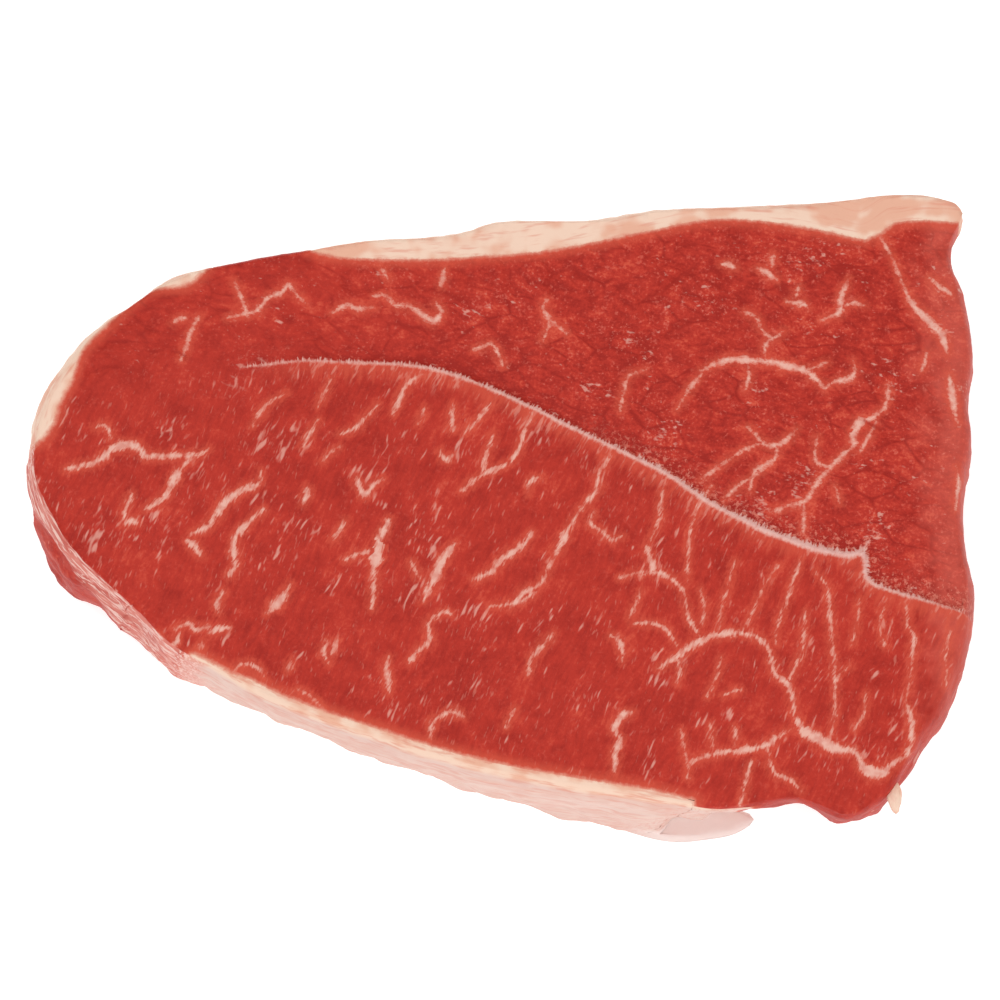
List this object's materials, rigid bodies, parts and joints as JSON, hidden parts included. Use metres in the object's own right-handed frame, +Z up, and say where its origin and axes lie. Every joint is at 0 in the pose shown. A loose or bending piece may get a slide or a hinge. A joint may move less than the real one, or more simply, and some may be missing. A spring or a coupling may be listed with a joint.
{
  "type": "raw beef shoulder roast",
  "caption": "Thick boneless slice of raw beef shoulder, a rounded wedge tapering to the left, with marbled lean on a flat cut face and layers of fat along its back, left end and front.",
  "frame": {"origin": "under the middle of the roast's box, on the surface it rests on", "axes": "+X along the longest side, towards the wide end; +Y towards the back fat; +Z up, square to the cut faces"},
  "size_m": [0.2672, 0.1804, 0.05],
  "materials": {
    "lean": "moist red lean with fine pale marbling, soft sheen",
    "fat": "smooth cream to peach fat with faint striations, soft sheen"
  },
  "bodies": {
    "root": {"lean_meat": "lean", "back_fat": "fat", "left_fat": "fat", "front_fat": "fat"}
  },
  "joints": []
}
